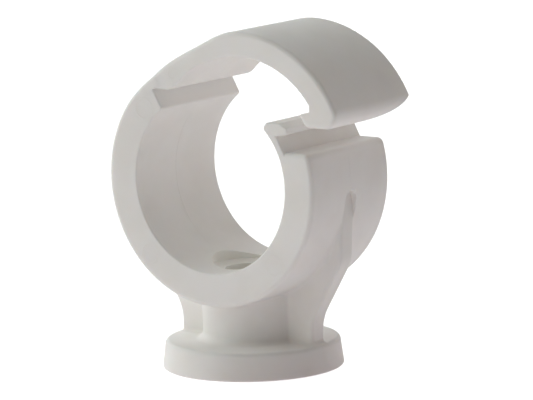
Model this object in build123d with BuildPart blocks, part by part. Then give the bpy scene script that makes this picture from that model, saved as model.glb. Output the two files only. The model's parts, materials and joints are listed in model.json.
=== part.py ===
from build123d import *
from math import atan2, cos, degrees, radians, sin, sqrt
import os

# A hinged pipe clip moulded in one shot: a foot on a screw column, a ring that holds the pipe,
# and an arm that swings on a thin web at the upper left and snaps behind a tongue at the right.
# X is to the right, Y along the pipe, Z up from the wall. All sizes are in millimetres.

# Pipe and ring
pipe_d = 15.0
pipe_play = 0.15
ring_wall = 2.9
clip_width = 11.35

# Foot, screw column and screw hole
foot_bottom_r = 7.75
foot_top_r = 7.45
foot_height = 2.4
foot_rim_round = 0.4
neck_height = 3.45
column_r = 4.25
column_blend = 0.7
screw_hole_d = 4.5
screw_head_d = 6.6
screw_sink_angle = 150.0
screw_sink_depth = 0.12

# Gussets between the foot and the ring's sides
gusset_t = 1.75
gusset_edge_flat = 0.6
gusset_foot_reach = 6.85
gusset_waist_in = 0.65
gusset_sink = 0.75
gusset_shoulder_in = 0.42
gusset_hollow_inset = 0.05
gusset_knee_rise = 2.05
gusset_waist_drop = 6.8
gusset_shoulder_drop = 2.9
gusset_top_drop = 0.5
gusset_knee_round = 4.0
gusset_waist_round = 3.0
gusset_shoulder_round = 8.0

# Living hinge
hinge_angle = 126.2
web_t = 0.95
web_half_length = 0.75
web_sink = 0.1
web_fall_angle = 150.0
notch_floor = 0.12
notch_base_lean = 8.0
jaw_corner_round = 0.25
notch_arm_lean = 53.0

# Arm, as moulded: it stands open by the latch gap
arm_play = 1.1
arm_centre_out = 3.17
arm_centre_up = 2.13
arm_t = 2.07
arm_back_start_angle = 89.0
arm_shoulder_angle = 112.0
arm_shoulder_t = 1.57
arm_root_lean = 6.0
arm_corner_round = 1.4
latch_gap = 2.2
hook_height = 1.9
hook_catch_height = 1.35
hook_nose_height = 0.98
hook_reach = 0.93
hook_toe = 0.4
hook_toe_round = 0.6
hook_nose_t = 0.3
arm_tip_round = 1.15
tip_corner_start = -4.0
tip_corner_rise = 1.75
tip_corner_slope = 38.0

# Latch on the lower jaw
shelf_rise = 3.1
shelf_edge_round = 0.65
tongue_root_angle = 15.0
tongue_stem_t = 0.8
tongue_lean = 0.15
tongue_height = 2.45
tongue_catch_height = 1.35
tongue_barb = 1.1
tongue_barb_t = 0.5
tongue_top_width = 1.35
tongue_round = 0.35
barb_round = 0.2

# Roundings of the moulding's rims, outside and elsewhere, and of the inner corners under the ring
outer_round = 0.4
rim_round = 0.15
junction_round = 0.35

# Worked out from the sizes above
bore_r = pipe_d / 2 + pipe_play
ring_r = bore_r + ring_wall
ring_z = foot_height + neck_height + ring_r
half_width = clip_width / 2


def polar(radius, angle, centre=(0.0, ring_z)):
    """Point at an angle in degrees around the ring's axis, or around another centre."""
    return (centre[0] + radius * cos(radians(angle)), centre[1] + radius * sin(radians(angle)))


def along(start, angle, length):
    """Point at a length from the start, in the direction of an angle in degrees."""
    return (start[0] + length * cos(radians(angle)), start[1] + length * sin(radians(angle)))


def between(start, end):
    """Point halfway from the start to the end."""
    return ((start[0] + end[0]) / 2, (start[1] + end[1]) / 2)


def reach_circle(start, angle, centre, radius):
    """Length from the start, along an angle in degrees, to where the line first meets a circle."""
    dx = start[0] - centre[0]
    dz = start[1] - centre[1]
    half_b = dx * cos(radians(angle)) + dz * sin(radians(angle))
    return -half_b - sqrt(half_b**2 - dx**2 - dz**2 + radius**2)


def angle_from(centre, point):
    """Angle in degrees at which a point is seen from a centre."""
    return degrees(atan2(point[1] - centre[1], point[0] - centre[0]))


# Hinge: the ring's skin falls in a little towards the web, and the notch's root lies under the web
web_r = ring_r - web_sink
notch_root = polar(web_r - web_t, hinge_angle)
web_span = degrees(web_half_length / web_r)
web_start = polar(web_r, hinge_angle + web_span)
web_start_under = polar(web_r - web_t, hinge_angle + web_span)
web_end = along(polar(web_r, hinge_angle), hinge_angle - 90, web_half_length)
web_end_under = along(notch_root, hinge_angle - 90, web_half_length)
arm_root = along(notch_root, hinge_angle - 90, notch_floor)
base_flank_angle = hinge_angle - 180 - notch_base_lean
arm_flank_angle = hinge_angle - 180 + notch_arm_lean
jaw_corner = along(
    notch_root,
    base_flank_angle,
    reach_circle(notch_root, base_flank_angle, (0.0, ring_z), bore_r),
)

# Latch on the lower jaw
shelf_z = ring_z + shelf_rise
shelf_outer = (sqrt(ring_r**2 - shelf_rise**2), shelf_z)
tongue_root = polar(bore_r, tongue_root_angle)
tongue_outer_r = bore_r - tongue_lean + tongue_stem_t
shelf_inner = (sqrt(tongue_outer_r**2 - shelf_rise**2), shelf_z)
catch_rise = shelf_rise + tongue_catch_height
catch_root = (sqrt(tongue_outer_r**2 - catch_rise**2), ring_z + catch_rise)
barb_low = (catch_root[0] + tongue_barb, catch_root[1] + barb_round)
barb_high = (barb_low[0], barb_low[1] + tongue_barb_t)
tongue_top_z = shelf_z + tongue_height
top_rise = tongue_top_z - ring_z
nose_rise = (catch_rise + top_rise) / 2
tongue_nose = (sqrt((bore_r - tongue_lean) ** 2 - nose_rise**2), ring_z + nose_rise)
tongue_top_in = (tongue_nose[0] + tongue_round, tongue_top_z)
tongue_top_out = (tongue_top_in[0] + tongue_top_width, tongue_top_z)

# Arm: two arcs about one centre, with a back that thins from the crown to the hinge
arm_bore_r = bore_r + arm_play
arm_back_r = arm_bore_r + arm_t
arm_centre = (arm_centre_out, ring_z + arm_centre_up)
arm_corner = along(
    arm_root,
    arm_flank_angle,
    reach_circle(arm_root, arm_flank_angle, arm_centre, arm_bore_r),
)
back_start = polar(arm_back_r, arm_back_start_angle, arm_centre)
arm_shoulder = polar(arm_bore_r + arm_shoulder_t, arm_shoulder_angle, arm_centre)
tip_z = shelf_z + latch_gap
hook_rise = tip_z + hook_height - arm_centre[1]
hook_top = (arm_centre[0] + sqrt(arm_bore_r**2 - hook_rise**2), tip_z + hook_height)
hook_catch = (hook_top[0], tip_z + hook_catch_height)
hook_nose_low = (hook_top[0] - hook_reach, tip_z + hook_nose_height - hook_nose_t / 2)
hook_nose_high = (hook_nose_low[0], hook_nose_low[1] + hook_nose_t)
hook_low = (hook_top[0] - hook_toe, tip_z)
back_rise = tip_z - arm_centre[1]
tip_corner = (arm_centre[0] + sqrt(arm_back_r**2 - back_rise**2), tip_z)

# Screw column and gussets
screw_hole_r = screw_hole_d / 2
screw_head_r = screw_head_d / 2
screw_seat_z = ring_z - bore_r - screw_sink_depth
gusset_side = gusset_t / 2
gusset_edge_round = gusset_side - gusset_edge_flat
gusset_hollow_side = gusset_side - gusset_hollow_inset
gusset_root = sqrt(column_r**2 - gusset_side**2)
gusset_crown = ring_r - gusset_sink
gusset_top_z = ring_z - gusset_top_drop
gusset_path = [
    (gusset_foot_reach, foot_height + gusset_knee_rise),
    (ring_r - gusset_waist_in, ring_z - gusset_waist_drop),
    (ring_r - gusset_shoulder_in, ring_z - gusset_shoulder_drop),
]

os.makedirs("parts", exist_ok=True)


def corner_at(sketch, point):
    """The sketch's vertex that lies at a point."""
    return sketch.vertices().sort_by_distance((point[0], point[1], 0))[0]


def rim_at(part, spots):
    """Edges of the part's front and back faces that pass by the given spots."""
    return [
        part.edges().sort_by_distance((x, y, z))[0]
        for x, z in spots
        for y in (-half_width, half_width)
    ]


# Gusset on the right: a plate with rounded outer edges whose top end lies in the ring's wall
with BuildPart() as gusset:
    with BuildSketch(Plane.XZ):
        with BuildLine():
            FilletPolyline(
                (gusset_foot_reach, foot_height / 2),
                *gusset_path,
                (gusset_crown, gusset_top_z),
                (0, gusset_top_z),
                radius=[
                    gusset_knee_round,
                    gusset_waist_round,
                    gusset_shoulder_round,
                    gusset_edge_round + rim_round,
                ],
            )
            Polyline((0, gusset_top_z), (0, foot_height / 2), (gusset_foot_reach, foot_height / 2))
        make_face()
    extrude(amount=gusset_side, both=True)
    gusset_plate = gusset.part
    outer_rim = [
        e
        for e in gusset.edges().filter_by(lambda e: abs(abs(e.center().Y) - gusset_side) < 1e-6)
        if e.bounding_box().max.X > gusset_foot_reach - 1e-6 and e.bounding_box().max.Z > foot_height
    ]
    fillet(outer_rim, gusset_edge_round)

# Hollow with a round top end in the ring's skin, down to the gusset's outer edge
with BuildPart() as gusset_hollow:
    with BuildSketch(Plane.YZ.offset(bore_r)):
        with Locations((0, gusset_top_z - gusset_side)):
            Circle(gusset_hollow_side)
            Rectangle(2 * gusset_hollow_side, gusset_waist_drop, align=(Align.CENTER, Align.MAX))
    extrude(amount=2 * ring_wall)
    add(gusset_plate, mode=Mode.SUBTRACT)

# Ring with the tongue and the shelf of the latch, cut away at the hinge for the web
with BuildPart() as jaw:
    with BuildSketch(Plane.XZ) as jaw_outline:
        with BuildLine():
            shelf_angle = angle_from((0.0, ring_z), shelf_outer)
            jaw_angle = angle_from((0.0, ring_z), jaw_corner)
            CenterArc((0, ring_z), ring_r, web_fall_angle, 360 + shelf_angle - web_fall_angle)
            TangentArc(
                polar(ring_r, web_fall_angle),
                web_start,
                tangent=along((0, 0), web_fall_angle - 90, 1),
            )
            Line(web_start, web_start_under)
            CenterArc((0, ring_z), web_r - web_t, hinge_angle, web_span)
            Line(notch_root, jaw_corner)
            CenterArc((0, ring_z), bore_r, jaw_angle, 360 + tongue_root_angle - jaw_angle)
            TangentArc(tongue_root, tongue_nose, tangent=along((0, 0), tongue_root_angle + 90, 1))
            Polyline(
                tongue_nose,
                tongue_top_in,
                tongue_top_out,
                barb_high,
                barb_low,
                catch_root,
                shelf_inner,
                shelf_outer,
            )
        make_face()
        fillet(corner_at(jaw_outline, jaw_corner), jaw_corner_round)
        fillet(corner_at(jaw_outline, shelf_outer), shelf_edge_round)
        fillet(corner_at(jaw_outline, tongue_nose), tongue_round)
        fillet(corner_at(jaw_outline, tongue_top_in), tongue_round)
        fillet(corner_at(jaw_outline, tongue_top_out), tongue_round)
        fillet(corner_at(jaw_outline, barb_high), barb_round)
        fillet(corner_at(jaw_outline, barb_low), barb_round)
    extrude(amount=half_width, both=True)
    jaw_flank = between(notch_root, jaw_corner)
    tongue_stem = between(shelf_inner, catch_root)
    fillet(rim_at(jaw, [polar(ring_r, 270)]), outer_round)
    fillet(rim_at(jaw, [polar(bore_r, 270), tongue_stem, jaw_flank]), rim_round)

# Foot and screw column, turned about the screw, with the gussets, the ring and the screw hole
with BuildPart() as base:
    with BuildSketch(Plane.XZ):
        with BuildLine():
            FilletPolyline(
                (0, 0),
                (foot_bottom_r, 0),
                (foot_top_r, foot_height),
                (column_r, foot_height),
                (column_r, ring_z),
                radius=[rim_round, foot_rim_round, column_blend],
            )
            Polyline((column_r, ring_z), (0, ring_z), (0, 0))
        make_face()
    revolve(axis=Axis.Z)
    add(gusset.part)
    mirror(gusset.part, about=Plane.YZ)
    with Locations((0, 0, ring_z)):
        Cylinder(bore_r, clip_width, rotation=(90, 0, 0), mode=Mode.SUBTRACT)
    add(jaw.part)
    flank_x, flank_z = polar(ring_r, -45)
    column_z = foot_height + neck_height / 2
    junction_spots = [(0, side * column_r, ring_z - ring_r) for side in (-1, 1)]
    for way in (-1, 1):
        junction_spots += [(way * gusset_root, side * gusset_side, column_z) for side in (-1, 1)]
        junction_spots += [(way * flank_x, side * gusset_side, flank_z) for side in (-1, 1)]
    fillet([base.edges().sort_by_distance(spot)[0] for spot in junction_spots], junction_round)
    add(gusset_hollow.part, mode=Mode.SUBTRACT)
    mirror(gusset_hollow.part, about=Plane.YZ, mode=Mode.SUBTRACT)
    with Locations((0, 0, screw_seat_z)):
        CounterSinkHole(screw_hole_r, screw_head_r, counter_sink_angle=screw_sink_angle)
        Cylinder(
            screw_head_r,
            bore_r,
            align=(Align.CENTER, Align.CENTER, Align.MIN),
            mode=Mode.SUBTRACT,
        )

# Web of the living hinge: a strip of the ring's outer skin over the notch's root
with BuildPart() as hinge_web:
    with BuildSketch(Plane.XZ):
        with BuildLine():
            CenterArc((0, ring_z), web_r, hinge_angle, web_span)
            Polyline(polar(web_r, hinge_angle), web_end, web_end_under, notch_root)
            CenterArc((0, ring_z), web_r - web_t, hinge_angle, web_span)
            Line(web_start_under, web_start)
        make_face()
    extrude(amount=half_width, both=True)
    fillet(rim_at(hinge_web, [polar(web_r, hinge_angle + web_span / 2)]), outer_round)

# Arm with its hook
with BuildPart() as arm:
    with BuildSketch(Plane.XZ) as arm_outline:
        with BuildLine():
            tip_angle = angle_from(arm_centre, tip_corner)
            hook_angle = angle_from(arm_centre, hook_top)
            corner_angle = angle_from(arm_centre, arm_corner)
            Spline(
                web_end,
                arm_shoulder,
                back_start,
                tangents=[
                    along((0, 0), hinge_angle - 90 + arm_root_lean, 1),
                    along((0, 0), arm_back_start_angle - 90, 1),
                ],
            )
            CenterArc(arm_centre, arm_back_r, tip_angle, arm_back_start_angle - tip_angle)
            Polyline(tip_corner, hook_low, hook_nose_low, hook_nose_high, hook_catch, hook_top)
            CenterArc(arm_centre, arm_bore_r, hook_angle, corner_angle - hook_angle)
            Polyline(arm_corner, arm_root, web_end_under, web_end)
        make_face()
        fillet(corner_at(arm_outline, tip_corner), arm_tip_round)
        fillet(corner_at(arm_outline, hook_low), hook_toe_round)
        fillet(corner_at(arm_outline, arm_corner), arm_corner_round)
    extrude(amount=half_width, both=True)
    arm_inside = polar(arm_bore_r, arm_back_start_angle / 2, arm_centre)
    arm_outside = polar(arm_back_r, arm_back_start_angle / 2, arm_centre)
    arm_flank = between(arm_root, arm_corner)
    hook_nose = between(hook_nose_low, hook_nose_high)
    hook_catch_face = between(hook_nose_high, hook_catch)
    hook_root = between(hook_catch, hook_top)
    fillet(rim_at(arm, [arm_outside]), outer_round)
    fillet(rim_at(arm, [arm_inside, arm_flank, hook_nose, hook_catch_face, hook_root]), rim_round)
    with BuildSketch(Plane.YZ.offset(hook_nose[0] - hook_reach)):
        with BuildLine():
            Polyline(
                (tip_corner_start, tip_z),
                (tip_corner_start, tip_z - tip_corner_rise),
                (half_width + tip_corner_rise, tip_z - tip_corner_rise),
                (half_width + tip_corner_rise, tip_z + tip_corner_rise),
                (half_width, tip_z + tip_corner_rise),
            )
            Spline(
                (tip_corner_start, tip_z),
                (half_width, tip_z + tip_corner_rise),
                tangents=[(1, 0), along((0, 0), tip_corner_slope, 1)],
            )
        make_face()
    extrude(amount=arm_back_r, mode=Mode.SUBTRACT)

base.part.label = "base"
hinge_web.part.label = "hinge_web"
arm.part.label = "arm"
export_step(base.part, "parts/base.step")
export_step(hinge_web.part, "parts/hinge_web.step")
export_step(arm.part, "parts/arm.step")
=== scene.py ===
# %% Load the clip's frame
import json
import bmesh
import bpy
import numpy as np
from mathutils import Matrix, Vector


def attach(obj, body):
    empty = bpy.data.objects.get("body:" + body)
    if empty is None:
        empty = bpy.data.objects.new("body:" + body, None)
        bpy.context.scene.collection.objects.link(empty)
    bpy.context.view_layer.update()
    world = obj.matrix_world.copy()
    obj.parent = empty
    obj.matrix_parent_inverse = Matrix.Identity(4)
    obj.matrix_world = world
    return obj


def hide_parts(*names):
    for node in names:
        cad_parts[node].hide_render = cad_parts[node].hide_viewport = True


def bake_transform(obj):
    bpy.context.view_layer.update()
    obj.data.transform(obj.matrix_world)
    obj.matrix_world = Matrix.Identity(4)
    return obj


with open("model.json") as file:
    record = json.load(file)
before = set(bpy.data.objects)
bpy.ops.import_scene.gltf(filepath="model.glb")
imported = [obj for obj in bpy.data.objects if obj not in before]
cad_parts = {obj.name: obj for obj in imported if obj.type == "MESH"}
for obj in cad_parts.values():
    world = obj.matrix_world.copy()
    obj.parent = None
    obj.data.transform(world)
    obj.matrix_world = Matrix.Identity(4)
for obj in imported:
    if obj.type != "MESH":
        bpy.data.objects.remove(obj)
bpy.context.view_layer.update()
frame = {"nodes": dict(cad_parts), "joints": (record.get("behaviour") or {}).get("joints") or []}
MM = 0.001

# %% [markdown]
# ## The clip and its frame
# A pipe clip moulded in one shot from white plastic: a round foot, a screw column, a ring for the pipe
# and an arm that swings on a thin strip of the same plastic. X is to the right, Y along the pipe and Z up.
# The solids already have the right shapes, so they stay. This lesson gives them a finish, a swept hinge
# strip in place of the solid web, the marks that a mould leaves, and the light and camera of a product
# picture.

# %% Sizes shared by several steps
BORE_R = 7.65 * MM
RING_R = 10.55 * MM
RING_Z = 16.4 * MM
HALF_WIDTH = 5.675 * MM
RIM_ROUND = 0.4 * MM
hinge = Vector(frame["joints"][0]["pos_m"])
print("hinge at", [round(v / MM, 3) for v in hinge], "mm")

# %% [markdown]
# ## Camera
# The picture was taken with a long lens from the clip's front right, a little above the pipe's axis.
# A camera could be aimed with a Track To constraint, but a constraint can't roll the picture by the
# degree and a half that this one has. So the three axes of the camera are worked out from its compass
# angle, its height and its roll, and written straight into its matrix.

# %% Camera
AZIMUTH, ELEVATION, ROLL = np.radians([35.662, 9.322, -1.525])
DISTANCE = 338.55 * MM
TARGET = Vector((1.796, 0, 14.317)) * MM
LENS_PIXELS = 4000.1
PICTURE_WIDTH = 533
SENSOR = 36.0
NEAREST_SEEN = 10 * MM

back = Vector((
    np.sin(AZIMUTH) * np.cos(ELEVATION),
    -np.cos(AZIMUTH) * np.cos(ELEVATION),
    np.sin(ELEVATION),
))
right = Vector((np.cos(AZIMUTH), np.sin(AZIMUTH), 0))
up = back.cross(right)
rolled_right = np.cos(ROLL) * right + np.sin(ROLL) * up
rolled_up = np.cos(ROLL) * up - np.sin(ROLL) * right
pose = Matrix((rolled_right, rolled_up, back)).transposed().to_4x4()
pose.translation = TARGET + back * DISTANCE
camera = bpy.data.objects.new("camera", bpy.data.cameras.new("camera"))
camera.data.sensor_width = SENSOR
camera.data.lens = LENS_PIXELS * SENSOR / PICTURE_WIDTH
camera.data.clip_start = NEAREST_SEEN
camera.matrix_world = pose
bpy.context.collection.objects.link(camera)
bpy.context.scene.camera = camera
print("camera lens", round(camera.data.lens, 1), "mm")

# %% [markdown]
# ## Sweeping a profile along a path
# The hinge strip and the mould marks are all one idea: a small closed profile carried along a path.
# A curve object with a bevel could do that, but its taper shrinks a profile's width with its height.
# So each sweep is a grid of points, rows along the path and columns round the profile, and one function
# turns any number of such grids into a closed mesh with its faces outwards.

# %% Swept mesh
SHARP_ANGLE = np.radians(30)


def swept_mesh(name, grids):
    """One mesh from grids of points[i, j], rows i along a path and columns j round a closed profile:
    each row is joined to the next, a path that comes round joins its last row to its first, and any
    other path gets a flat cap at each end."""
    faces = []
    offset = 0
    for points, comes_round in grids:
        rows, columns = points.shape[:2]
        index = offset + np.arange(rows * columns).reshape(rows, columns)
        ahead = np.roll(index, -1, axis=0)
        beside = np.roll(index, -1, axis=1)
        both = np.roll(ahead, -1, axis=1)
        quads = np.stack([index, ahead, both, beside], axis=-1)
        faces += (quads if comes_round else quads[:-1]).reshape(-1, 4).tolist()
        faces += [] if comes_round else [index[0].tolist(), index[-1].tolist()]
        offset += rows * columns
    mesh = bpy.data.meshes.new(name)
    mesh.from_pydata(np.concatenate([p.reshape(-1, 3) for p, _ in grids]).tolist(), [], faces)
    shell = bmesh.new()
    shell.from_mesh(mesh)
    bmesh.ops.recalc_face_normals(shell, faces=shell.faces)
    shell.to_mesh(mesh)
    shell.free()
    mesh.polygons.foreach_set("use_smooth", np.ones(len(mesh.polygons), bool))
    mesh.set_sharp_from_angle(angle=SHARP_ANGLE)
    piece = bpy.data.objects.new(name, mesh)
    bpy.context.collection.objects.link(piece)
    print(name, len(mesh.polygons), "faces")
    return piece


# %% [markdown]
# ## Living hinge
# On the real clip the hinge is a strip of plastic under a millimetre thick that the mould leaves across
# the notch. As a rigid solid it would tear away from the arm when the arm swings up.

# %% Hinge strip
HINGE_ANGLE = np.radians(126.2)
WEB_SINK = 0.1 * MM
WEB_R = RING_R - WEB_SINK
WEB_T = 0.95 * MM
WEB_HALF = 0.75 * MM


def strip_profile(steps=8, under_steps=12):
    """Loop of (y, depth): a flat strip of the web's thickness whose two outer rims are quarter circles."""
    turn = np.linspace(0, np.pi / 2, steps)
    rim_y = HALF_WIDTH - RIM_ROUND + RIM_ROUND * np.cos(turn)
    rim_d = -RIM_ROUND + RIM_ROUND * np.sin(turn)
    near = np.stack([-rim_y, rim_d], axis=1)
    far = np.stack([rim_y, rim_d], axis=1)[::-1]
    under_y = np.linspace(HALF_WIDTH, -HALF_WIDTH, under_steps)
    under = np.stack([under_y, np.full_like(under_y, -WEB_T)], axis=1)
    return np.concatenate([near, far, under])


def hinge_strip_points(rows=33):
    """Points of the strip: each path step is a place on the ring's outer skin with its outward direction,
    round the ring on the base's side and straight on along the tangent on the arm's side, and a profile
    point lies at that place, its depth along the outward direction and its y along the pipe."""
    s = np.linspace(-WEB_HALF, WEB_HALF, rows)
    angle = HINGE_ANGLE - np.minimum(s, 0) / WEB_R
    straight = np.maximum(s, 0)
    outward = np.stack([np.cos(angle), np.sin(angle)], axis=1)
    along = np.array([np.sin(HINGE_ANGLE), -np.cos(HINGE_ANGLE)])
    skin = np.array([0, RING_Z]) + WEB_R * outward + straight[:, None] * along
    y, depth = strip_profile().T
    xz = skin[:, None, :] + depth[None, :, None] * outward[:, None, :]
    return np.stack([xz[..., 0], np.broadcast_to(y, xz.shape[:2]), xz[..., 1]], axis=-1)


hinge_strip = swept_mesh("hinge_strip", [(hinge_strip_points(), False)])
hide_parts("hinge_web")
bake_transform(hinge_strip)

# %% [markdown]
# ## Marks of the mould
# Two things give a moulding away: the thin line where the two halves of the mould met, here round the
# middle of the ring, and the faint rings on the front where pins pushed the part out. A bump map could
# hint at them, but it would vanish in the outline. They are low ridges, one or two hundredths of a
# millimetre high, with their feet sunk into the wall so that no gap shows.

# %% Mould marks
SEAM_HALF = 0.07 * MM
SEAM_HEIGHT = 0.018 * MM
PIN_HALF = 0.07 * MM
PIN_HEIGHT = 0.010 * MM
MARK_SINK = 0.04 * MM
CROWN_STEPS = 7
FADE_ROWS = 8
# Each arc has a radius, 1 to face out or -1 to face in, and its first and last angle in degrees.
SEAM_ARCS = (
    (BORE_R, -1, 132, 243),
    (BORE_R, -1, 297, 374),
    (RING_R, 1, -2, 13),
    (RING_R, 1, 180, 151),
)
# Each ring has its centre's x and z and its radius, in millimetres.
BASE_PINS = ((-6.60, 22.35, 0.85), (-6.43, 9.97, 0.85), (6.43, 9.97, 0.85))
ARM_PINS = ((-3.50, 25.50, 0.45),)


def ridge_points(place, outward, side, half, height):
    """Points of a low ridge: at each place the profile is a half ellipse, half wide along the side
    direction and height[i] tall along the outward one, closed by two feet sunk into the wall."""
    turn = np.linspace(0, np.pi, CROWN_STEPS)
    across = np.concatenate([half * np.cos(turn), [-half, half]])
    rise = height[:, None] * np.concatenate([np.sin(turn), [0, 0]])
    rise -= np.concatenate([np.zeros(CROWN_STEPS), [MARK_SINK, MARK_SINK]])
    return place[:, None] + across[:, None] * side[:, None] + rise[..., None] * outward[:, None]


def seam_points(radius, facing, first, last, rows=72):
    """Ridge round the pipe's axis at a radius, facing out of the ring or into it, from one angle to
    another in degrees; its height is the seam's times a ramp that falls to nothing at both ends."""
    angle = np.radians(np.linspace(first, last, rows))
    radial = np.stack([np.cos(angle), np.zeros(rows), np.sin(angle)], axis=1)
    step = np.arange(rows)
    ramp = np.minimum(1, np.minimum(step, rows - 1 - step) / FADE_ROWS)
    side = np.broadcast_to([0.0, 1.0, 0.0], radial.shape)
    place = np.array([0, 0, RING_Z]) + radius * radial
    return ridge_points(place, facing * radial, side, SEAM_HALF, SEAM_HEIGHT * ramp)


def pin_points(x, z, radius, rows=48):
    """Ridge round a circle on the front face, its centre's x and z and its radius in millimetres."""
    angle = np.linspace(0, 2 * np.pi, rows, endpoint=False)
    radial = np.stack([np.cos(angle), np.zeros(rows), np.sin(angle)], axis=1)
    front = np.broadcast_to([0.0, -1.0, 0.0], radial.shape)
    place = np.array([x * MM, -HALF_WIDTH, z * MM]) + radius * MM * radial
    return ridge_points(place, front, radial, PIN_HALF, np.full(rows, PIN_HEIGHT))


seams = [(seam_points(*arc), False) for arc in SEAM_ARCS]
base_marks = swept_mesh("base_mould_marks", seams + [(pin_points(*pin), True) for pin in BASE_PINS])
arm_marks = swept_mesh("arm_mould_marks", [(pin_points(*pin), True) for pin in ARM_PINS])
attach(base_marks, "base")
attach(arm_marks, "arm")

# %% [markdown]
# ## Node groups for the plastic
# The same plastic is used twice, with and without light passing through it, so what varies over its
# surface is built once as three node groups: slow clouds of tone, the fine grain that spark erosion
# leaves in a steel mould, and soft spots round a place, for the bloom at the hinge and for a painted
# glow, a yellow tint that stands in for light coming through the thin wall of the screw seat.
# Each takes a place in metres, so the material's own Object coordinates go in.

# %% Group helpers
# A Mix node repeats its socket names for numbers and colours, so its colour sockets go by their place.
COLOUR_A = 6
COLOUR_B = 7
COLOUR_OUT = 2


def new_group(name, inputs, outputs):
    """Empty shader node group with named sockets, each a name and a kind, and its two end nodes."""
    group = bpy.data.node_groups.new(name, "ShaderNodeTree")
    for label, kind in inputs:
        group.interface.new_socket(label, in_out="INPUT", socket_type=kind)
    for label, kind in outputs:
        group.interface.new_socket(label, in_out="OUTPUT", socket_type=kind)
    return group, group.nodes.new("NodeGroupInput").outputs, group.nodes.new("NodeGroupOutput").inputs


def add_noise(tree, place, scale, detail):
    """Noise with features one over the scale wide, at a place; returns its value from 0 to 1."""
    noise = tree.nodes.new("ShaderNodeTexNoise")
    noise.inputs["Scale"].default_value = scale
    noise.inputs["Detail"].default_value = detail
    tree.links.new(place, noise.inputs["Vector"])
    return noise.outputs["Fac"]


def add_range(tree, value, before, after):
    """A value moved from one range to another, smoothly and held to the ends."""
    moved = tree.nodes.new("ShaderNodeMapRange")
    moved.interpolation_type = "SMOOTHSTEP"
    for label, number in zip(("From Min", "From Max", "To Min", "To Max"), before + after):
        moved.inputs[label].default_value = number
    tree.links.new(value, moved.inputs["Value"])
    return moved.outputs["Result"]


def add_math(tree, operation, first, second, third=0.0):
    """One Math node; each of its values is a number or a socket."""
    node = tree.nodes.new("ShaderNodeMath")
    node.operation = operation
    for socket, value in zip(node.inputs, (first, second, third)):
        if isinstance(value, float):
            socket.default_value = value
        else:
            tree.links.new(value, socket)
    return node.outputs["Value"]


def add_mix(tree, mask, first, second):
    """Two colours mixed by a mask; each is a colour or a socket."""
    mix = tree.nodes.new("ShaderNodeMix")
    mix.data_type = "RGBA"
    tree.links.new(mask, mix.inputs["Factor"])
    for socket, value in zip((mix.inputs[COLOUR_A], mix.inputs[COLOUR_B]), (first, second)):
        if isinstance(value, tuple):
            socket.default_value = value
        else:
            tree.links.new(value, socket)
    return mix.outputs[COLOUR_OUT]


# %% Cloudy tone
FULL_RANGE = (0.0, 1.0)
CLOUD_SCALE = 240.0
CLOUD_DETAIL = 3.0
CLOUD_RANGE = (0.32, 0.68)
cloudy_tone, tone_in, tone_out = new_group(
    "cloudy_tone",
    (("Place", "NodeSocketVector"), ("Light", "NodeSocketColor"), ("Deep", "NodeSocketColor")),
    (("Colour", "NodeSocketColor"),),
)
cloud_noise = add_noise(cloudy_tone, tone_in["Place"], CLOUD_SCALE, CLOUD_DETAIL)
clouds = add_range(cloudy_tone, cloud_noise, CLOUD_RANGE, FULL_RANGE)
cloud_colour = add_mix(cloudy_tone, clouds, tone_in["Deep"], tone_in["Light"])
cloudy_tone.links.new(cloud_colour, tone_out["Colour"])
print("cloudy tone", len(cloudy_tone.nodes), "nodes")

# %% Spark grain
GRAIN_SCALE = 4200.0
WAVE_SCALE = 420.0
GRAIN_DETAIL = 2.0
GRAIN_SHARE = 0.12
GLOSS_SHARE = 0.5
GLOSS_RANGE = (0.35, 0.65)
spark_grain, grain_in, grain_out = new_group(
    "spark_grain",
    (("Place", "NodeSocketVector"),),
    (("Height", "NodeSocketFloat"), ("Gloss", "NodeSocketFloat")),
)
grain = add_noise(spark_grain, grain_in["Place"], GRAIN_SCALE, GRAIN_DETAIL)
waves = add_noise(spark_grain, grain_in["Place"], WAVE_SCALE, GRAIN_DETAIL)
relief = add_math(spark_grain, "MULTIPLY_ADD", grain, GRAIN_SHARE, waves)
spark_grain.links.new(relief, grain_out["Height"])
soft_patches = add_math(spark_grain, "MULTIPLY", waves, GLOSS_SHARE)
patches = add_math(spark_grain, "MULTIPLY_ADD", grain, GLOSS_SHARE, soft_patches)
spark_grain.links.new(add_range(spark_grain, patches, GLOSS_RANGE, FULL_RANGE), grain_out["Gloss"])
print("spark grain", len(spark_grain.nodes), "nodes")

# %% Soft spot
STREAK_SCALE = 1100.0
STREAK_DETAIL = 3.0
STREAK_RANGE = (0.3, 0.7)
STREAK_MASK = (0.55, 1.0)
SPOT_RANGE = (0.35, 1.0)
SPOT_MASK = (1.0, 0.0)
soft_spot, spot_in, spot_out = new_group(
    "soft_spot",
    (
        ("Place", "NodeSocketVector"),
        ("Centre", "NodeSocketVector"),
        ("Axes", "NodeSocketVector"),
        ("Reach", "NodeSocketFloat"),
    ),
    (("Mask", "NodeSocketFloat"),),
)
from_centre = soft_spot.nodes.new("ShaderNodeVectorMath")
from_centre.operation = "SUBTRACT"
kept_axes = soft_spot.nodes.new("ShaderNodeVectorMath")
kept_axes.operation = "MULTIPLY"
how_far = soft_spot.nodes.new("ShaderNodeVectorMath")
how_far.operation = "LENGTH"
soft_spot.links.new(spot_in["Place"], from_centre.inputs[0])
soft_spot.links.new(spot_in["Centre"], from_centre.inputs[1])
soft_spot.links.new(from_centre.outputs["Vector"], kept_axes.inputs[0])
soft_spot.links.new(spot_in["Axes"], kept_axes.inputs[1])
soft_spot.links.new(kept_axes.outputs["Vector"], how_far.inputs[0])
share = add_math(soft_spot, "DIVIDE", how_far.outputs["Value"], spot_in["Reach"])
streak_noise = add_noise(soft_spot, spot_in["Place"], STREAK_SCALE, STREAK_DETAIL)
streaks = add_range(soft_spot, streak_noise, STREAK_RANGE, STREAK_MASK)
faded = add_range(soft_spot, share, SPOT_RANGE, SPOT_MASK)
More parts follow.
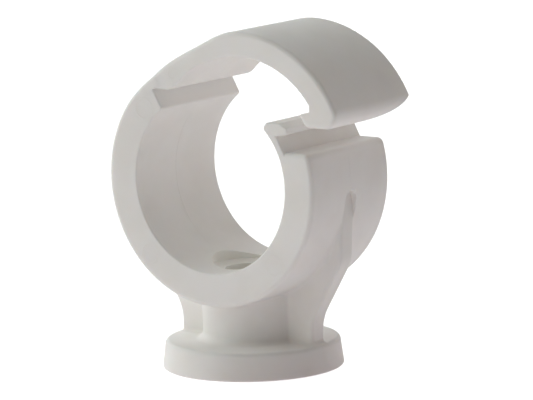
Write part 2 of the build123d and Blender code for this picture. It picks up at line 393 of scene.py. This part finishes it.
soft_spot.links.new(add_math(soft_spot, "MULTIPLY", faded, streaks), spot_out["Mask"])
print("soft spot", len(soft_spot.nodes), "nodes")

# %% [markdown]
# ## White plastic
# The clip is white polypropylene: faintly cloudy, satin, and thin enough that light goes a little way
# into it and comes out warm. A plain white Principled BSDF looks like paint. Here the tone varies
# slowly, the grain breaks the gloss, the plastic is paler where it was stretched at the hinge, the screw
# seat gets a painted yellow glow that stands in for light coming through its thin wall, and subsurface
# scattering carries light inside. That stops at the edge of an object, so the thin strip and the marks,
# which are objects of their own, go without.

# %% White plastic
PLASTIC_LIGHT = (0.966, 0.951, 0.927, 1.0)
PLASTIC_DEEP = (0.926, 0.906, 0.880, 1.0)
BLOOM_WHITE = (0.965, 0.950, 0.930, 1.0)
# Painted light: a yellow tint in the screw seat that stands in for light coming through its thin wall.
SEAT_PAINTED_GLOW = (0.950, 0.950, 0.870, 1.0)
SEAT_CENTRE = (0.0, 0.0, 8.0 * MM)
BLOOM_REACH = 2.6 * MM
SEAT_REACH = 4.6 * MM
ALONG_PIPE = (1, 0, 1)
ALL_ROUND = (1, 1, 1)
ROUGHNESS_RANGE = (0.42, 0.56)
BUMP_STRENGTH = 0.6
BUMP_HEIGHT = 0.012 * MM
PLASTIC_IOR = 1.49
SCATTER_RADIUS = (1.0, 0.8, 0.65)
SCATTER_SCALE = 1.2 * MM
THICK_SCATTER = 0.3
THIN_SCATTER = 0.0


def add_group(tree, group, place, **values):
    """Places a node group in a material with its own values, and returns its outputs."""
    node = tree.nodes.new("ShaderNodeGroup")
    node.node_tree = group
    tree.links.new(place, node.inputs["Place"])
    for label, value in values.items():
        node.inputs[label].default_value = value
    return node.outputs


def plastic_material(name, subsurface):
    """A satin, slightly translucent white plastic with clouds, grain, a paler bloom at the hinge and a
    painted yellow glow of light in the screw seat.
    """
    material = bpy.data.materials.new(name)
    material.use_nodes = True
    tree = material.node_tree
    shader = tree.nodes["Principled BSDF"]
    place = tree.nodes.new("ShaderNodeTexCoord").outputs["Object"]
    tone = add_group(tree, cloudy_tone, place, Light=PLASTIC_LIGHT, Deep=PLASTIC_DEEP)
    bloom = add_group(tree, soft_spot, place, Centre=hinge, Axes=ALONG_PIPE, Reach=BLOOM_REACH)
    # The second soft spot is painted light: the screw seat is tinted yellow for the glow of light through
    # its thin wall.
    seat_glow = add_group(tree, soft_spot, place, Centre=SEAT_CENTRE, Axes=ALL_ROUND, Reach=SEAT_REACH)
    bloomed = add_mix(tree, bloom["Mask"], tone["Colour"], BLOOM_WHITE)
    tree.links.new(add_mix(tree, seat_glow["Mask"], bloomed, SEAT_PAINTED_GLOW), shader.inputs["Base Color"])
    surface = add_group(tree, spark_grain, place)
    roughness = add_range(tree, surface["Gloss"], FULL_RANGE, ROUGHNESS_RANGE)
    tree.links.new(roughness, shader.inputs["Roughness"])
    bump = tree.nodes.new("ShaderNodeBump")
    bump.inputs["Strength"].default_value = BUMP_STRENGTH
    bump.inputs["Distance"].default_value = BUMP_HEIGHT
    tree.links.new(surface["Height"], bump.inputs["Height"])
    tree.links.new(bump.outputs["Normal"], shader.inputs["Normal"])
    shader.inputs["IOR"].default_value = PLASTIC_IOR
    shader.inputs["Subsurface Weight"].default_value = subsurface
    shader.inputs["Subsurface Radius"].default_value = SCATTER_RADIUS
    shader.inputs["Subsurface Scale"].default_value = SCATTER_SCALE
    return material


white_plastic = plastic_material("white_plastic", THICK_SCATTER)
thin_plastic = plastic_material("thin_plastic", THIN_SCATTER)
for node in ("base", "arm"):
    frame["nodes"][node].material_slots[0].material = white_plastic
for piece in (hinge_strip, base_marks, arm_marks):
    piece.data.materials.append(thin_plastic)
print("materials", white_plastic.name, thin_plastic.name)

# %% [markdown]
# ## Floor
# The picture has a plain white ground. The floor is a large pale plane that also glows: it looks white
# to the camera, and sends a softer, faintly pink light up under the ring and the arm.

# %% Floor
FLOOR_HALF = 4.0
FLOOR_DROP = 0.01 * MM
FLOOR_COLOUR = (0.9, 0.9, 0.9, 1.0)
FLOOR_ROUGHNESS = 0.9
FLOOR_BOUNCE = (0.251, 0.218, 0.238, 1.0)
FLOOR_SEEN = (0.8, 0.8, 0.8, 1.0)
floor_mesh = bpy.data.meshes.new("floor")
corners = np.array([[-1, -1, 0], [1, -1, 0], [1, 1, 0], [-1, 1, 0]]) * FLOOR_HALF
corners[:, 2] = -FLOOR_DROP
floor_mesh.from_pydata(corners.tolist(), [], [(0, 1, 2, 3)])
floor = bpy.data.objects.new("floor", floor_mesh)
bpy.context.collection.objects.link(floor)
floor_material = bpy.data.materials.new("pale_floor")
floor_material.use_nodes = True
floor_tree = floor_material.node_tree
floor_shader = floor_tree.nodes["Principled BSDF"]
floor_shader.inputs["Base Color"].default_value = FLOOR_COLOUR
floor_shader.inputs["Roughness"].default_value = FLOOR_ROUGHNESS
floor_shader.inputs["Specular IOR Level"].default_value = 0.0
floor_shader.inputs["Emission Strength"].default_value = 1.0
floor_seen = floor_tree.nodes.new("ShaderNodeLightPath").outputs["Is Camera Ray"]
floor_glow = add_mix(floor_tree, floor_seen, FLOOR_BOUNCE, FLOOR_SEEN)
floor_tree.links.new(floor_glow, floor_shader.inputs["Emission Color"])
floor_mesh.materials.append(floor_material)
print("floor", 2 * FLOOR_HALF, "m wide")

# %% [markdown]
# ## Light
# The picture's light is soft and comes mostly from the left and from behind, with the least from above
# and from the camera's right. A ring of area lights would give hard ends to each light, so the sky itself
# is the lamp: a sum of wide soft lobes, each with its own direction and tint, and plain white to the camera.

# %% Sky
# Each light has its turn round from the camera and its height, both in degrees, and its tint.
SOFT_LIGHTS = (
    (90, 5, (0.162, 0.127, 0.102)),
    (135, 5, (0.588, 0.561, 0.561)),
    (180, 5, (0.144, 0.125, 0.137)),
    (225, 5, (0.608, 0.622, 0.626)),
    (270, 5, (0.771, 0.802, 0.793)),
    (315, 5, (0.161, 0.134, 0.092)),
    (135, 40, (0.178, 0.181, 0.163)),
    (180, 40, (0.263, 0.271, 0.268)),
    (225, 40, (0.556, 0.593, 0.586)),
    (270, 40, (0.508, 0.532, 0.500)),
)
LIGHT_SHARPNESS = 4.0
SEEN_WHITE = (1.0, 1.0, 1.0, 1.0)


def sky_lobe(tree, direction, tint, total):
    """Adds one soft light to the sky's colour: its tint times the cosine of the angle to its direction,
    held above nothing and raised to the sharpness."""
    cosine = tree.nodes.new("ShaderNodeVectorMath")
    cosine.operation = "DOT_PRODUCT"
    cosine.inputs[1].default_value = direction
    tree.links.new(tree.nodes["Texture Coordinate"].outputs["Generated"], cosine.inputs[0])
    front = add_math(tree, "MAXIMUM", cosine.outputs["Value"], 0.0)
    added = tree.nodes.new("ShaderNodeVectorMath")
    added.operation = "MULTIPLY_ADD"
    added.inputs[1].default_value = tint
    tree.links.new(add_math(tree, "POWER", front, LIGHT_SHARPNESS), added.inputs[0])
    if total is not None:
        tree.links.new(total, added.inputs[2])
    return added.outputs["Vector"]


world = bpy.data.worlds.new("studio")
world.use_nodes = True
bpy.context.scene.world = world
sky = world.node_tree
sky.nodes.new("ShaderNodeTexCoord")
light_sum = None
for turn, height, tint in SOFT_LIGHTS:
    around = AZIMUTH + np.radians(turn)
    lift = np.radians(height)
    direction = (np.sin(around) * np.cos(lift), -np.cos(around) * np.cos(lift), np.sin(lift))
    light_sum = sky_lobe(sky, direction, tint, light_sum)
sky_seen = sky.nodes.new("ShaderNodeLightPath").outputs["Is Camera Ray"]
sky_colour = add_mix(sky, sky_seen, light_sum, SEEN_WHITE)
sky.links.new(sky_colour, sky.nodes["Background"].inputs["Color"])
bpy.context.scene.view_settings.view_transform = "Standard"
print("sky lights", len(SOFT_LIGHTS))
